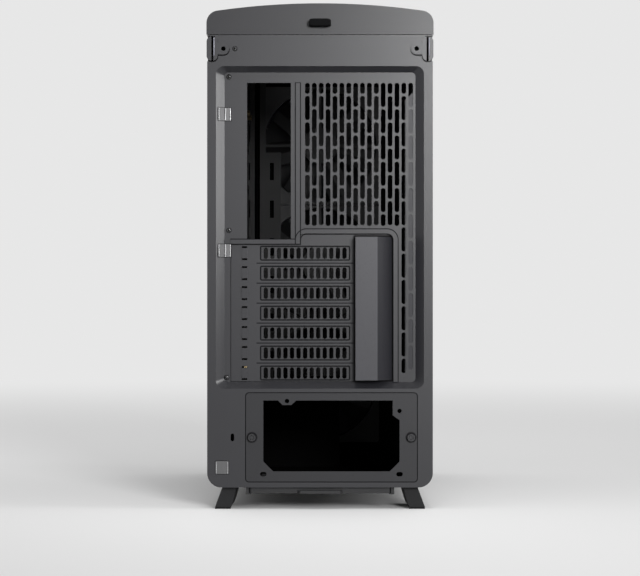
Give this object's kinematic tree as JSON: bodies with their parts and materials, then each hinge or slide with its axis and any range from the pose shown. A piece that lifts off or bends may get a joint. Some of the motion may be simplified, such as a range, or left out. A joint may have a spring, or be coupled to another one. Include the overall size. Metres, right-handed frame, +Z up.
{
  "type": "atx pc case",
  "caption": "Mid-tower computer case with a sunk slotted rear panel, expansion slot covers, crowned top cover, glass side and front fans.",
  "frame": {"origin": "centre of the overall box on the surface that the feet stand on", "axes": "+Z up, +Y towards the front, +X to the right as seen from the back"},
  "size_m": [0.23, 0.45, 0.5127],
  "materials": {
    "powder_coat": "satin anthracite powder coat",
    "cover_paint": "satin anthracite paint on a moulded shell",
    "mesh_sheet": "fine woven steel mesh, black",
    "filter_mesh": "fine nylon filter mesh",
    "black_plastic": "fine-grained black plastic",
    "fan_plastic": "moulded fan plastic",
    "rubber": "matt black rubber",
    "bright_clip": "bright spring steel",
    "screw_black": "black zinc",
    "port_shell": "nickel-plated shell",
    "standoff_brass": "turned brass",
    "tinted_glass": "tempered glass, dark tint"
  },
  "bodies": {
    "chassis": {"rear_panel": "powder_coat", "rear_pillar": "powder_coat", "motherboard_tray": "powder_coat", "cable_bar": "powder_coat", "roof_frame": "powder_coat", "floor_pan": "powder_coat", "front_frame": "powder_coat", "psu_shroud": "powder_coat", "drive_cage": "powder_coat", "psu_bracket": "powder_coat", "slot_cover_1": "powder_coat", "slot_cover_2": "powder_coat", "slot_cover_3": "powder_coat", "slot_cover_4": "powder_coat", "slot_cover_5": "powder_coat", "slot_cover_6": "powder_coat", "slot_cover_7": "powder_coat", "drive_tray_1": "black_plastic", "drive_tray_2": "black_plastic", "io_module": "black_plastic", "filter_rails": "black_plastic", "audio_jack": "black_plastic", "foot_rear_left": "black_plastic", "foot_rear_right": "black_plastic", "foot_front_left": "black_plastic", "foot_front_right": "black_plastic", "fan_frame_1": "fan_plastic", "fan_frame_2": "fan_plastic", "fan_frame_3": "fan_plastic", "psu_pads": "rubber", "cable_grommets": "rubber", "foot_pads": "rubber", "panel_clips": "bright_clip", "slot_screws": "screw_black", "psu_thumbscrews": "screw_black", "panel_screws": "screw_black", "fan_screws": "screw_black", "usb_port_1": "port_shell", "usb_port_2": "port_shell", "usb_c_port": "port_shell", "standoffs": "standoff_brass"},
    "top_cover": {"top_cover": "cover_paint", "top_mesh": "mesh_sheet", "pull_tab": "rubber"},
    "front_panel": {"front_panel": "cover_paint", "front_mesh": "mesh_sheet"},
    "glass_side": {"glass_panel": "tinted_glass", "glass_panel_strip": "powder_coat"},
    "steel_side": {"steel_side_panel": "powder_coat"},
    "bottom_filter": {"bottom_filter_frame": "black_plastic", "bottom_filter_mesh": "filter_mesh"},
    "slot_lock": {"slot_lock_cover": "powder_coat"},
    "power_button": {"power_button": "black_plastic"},
    "reset_button": {"reset_button": "black_plastic"},
    "fan_rotor_1": {"fan_rotor_1": "fan_plastic"},
    "fan_rotor_2": {"fan_rotor_2": "fan_plastic"},
    "fan_rotor_3": {"fan_rotor_3": "fan_plastic"}
  },
  "joints": [
    {"name": "top_cover_lift", "type": "slide", "parent": "chassis", "child": "top_cover", "axis": [0, 0, 1], "range_m": [0, 0.06]},
    {"name": "front_panel_pull", "type": "slide", "parent": "chassis", "child": "front_panel", "axis": [0, 1, 0], "range_m": [0, 0.05]},
    {"name": "glass_side_pull", "type": "slide", "parent": "chassis", "child": "glass_side", "axis": [1, 0, 0], "range_m": [0, 0.08]},
    {"name": "steel_side_pull", "type": "slide", "parent": "chassis", "child": "steel_side", "axis": [-1, 0, 0], "range_m": [0, 0.08]},
    {"name": "bottom_filter_pull", "type": "slide", "parent": "chassis", "child": "bottom_filter", "axis": [0, -1, 0], "range_m": [0, 0.19]},
    {"name": "slot_lock_pull", "type": "slide", "parent": "chassis", "child": "slot_lock", "axis": [0, -1, 0], "range_m": [0, 0.03]},
    {"name": "power_button_press", "type": "slide", "parent": "chassis", "child": "power_button", "axis": [0, 0, -1], "range_m": [0, 0.0015], "stiffness_N_per_m": 900},
    {"name": "reset_button_press", "type": "slide", "parent": "chassis", "child": "reset_button", "axis": [0, 0, -1], "range_m": [0, 0.0015], "stiffness_N_per_m": 700},
    {"name": "fan_1_spin", "type": "hinge", "parent": "chassis", "child": "fan_rotor_1", "pos_m": [0, 0.1764, 0.1114], "axis": [0, 1, 0], "continuous": true},
    {"name": "fan_2_spin", "type": "hinge", "parent": "chassis", "child": "fan_rotor_2", "pos_m": [0, 0.1764, 0.2524], "axis": [0, 1, 0], "continuous": true},
    {"name": "fan_3_spin", "type": "hinge", "parent": "chassis", "child": "fan_rotor_3", "pos_m": [0, 0.1764, 0.3934], "axis": [0, 1, 0], "continuous": true}
  ]
}
